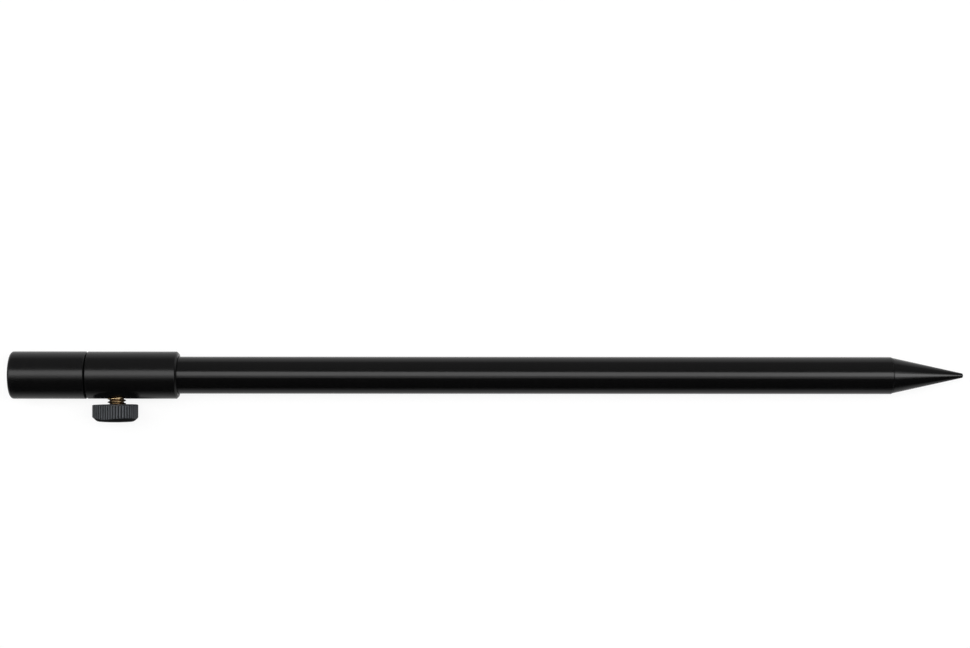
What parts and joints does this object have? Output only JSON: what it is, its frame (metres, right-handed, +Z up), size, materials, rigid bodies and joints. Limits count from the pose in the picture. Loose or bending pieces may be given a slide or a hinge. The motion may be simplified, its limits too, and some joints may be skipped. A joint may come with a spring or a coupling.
{
  "type": "bank stick",
  "caption": "Telescopic bank stick with a ground point, a collar with a three-lobed thumb screw, and a sliding stem whose head takes a threaded rod rest.",
  "frame": {"origin": "tip of the ground point, on the stick's axis", "axes": "+X along the stick towards the tip, -Y the way the thumb screw points, +Z up with the stick lying flat"},
  "size_m": [0.4115, 0.0306, 0.0206],
  "materials": {
    "black_anodised": "satin black anodised, turned",
    "brass": "bright turned brass",
    "moulded_charcoal": "satin moulded plastic, charcoal grey",
    "black_nylon": "plain nylon",
    "white_nylon": "natural nylon",
    "black_rubber": "matt rubber"
  },
  "bodies": {
    "barrel": {"main_tube": "black_anodised", "ground_point": "black_anodised", "collar": "black_anodised", "guide_bush": "black_nylon"},
    "glide": {"glide_ring": "white_nylon"},
    "extension": {"stem_tube": "black_anodised", "stem_end_plug": "black_nylon", "head": "black_anodised", "head_thread_insert": "brass", "buffer_ring": "black_rubber"},
    "pad": {"screw_pad": "white_nylon"},
    "thumb_screw": {"screw_stud": "brass", "knob_body": "moulded_charcoal", "knob_cap": "moulded_charcoal"}
  },
  "joints": [
    {"name": "extension_slide", "type": "slide", "parent": "barrel", "child": "glide", "axis": [-1, 0, 0], "range_m": [0, 0.2828]},
    {"name": "extension_turn", "type": "hinge", "parent": "glide", "child": "extension", "pos_m": [-0.2, 0, 0], "axis": [1, 0, 0], "continuous": true},
    {"name": "screw_advance", "type": "slide", "parent": "barrel", "child": "pad", "axis": [0, -1, 0], "range_m": [0, 0.00212]},
    {"name": "screw_turn", "type": "hinge", "parent": "pad", "child": "thumb_screw", "pos_m": [-0.3658, -0.015, 0], "axis": [0, -1, 0], "range_deg": [0, 540]}
  ],
  "couplings": [
    {"joint": "screw_turn", "follows": "screw_advance", "rad_per_m": 4453}
  ]
}
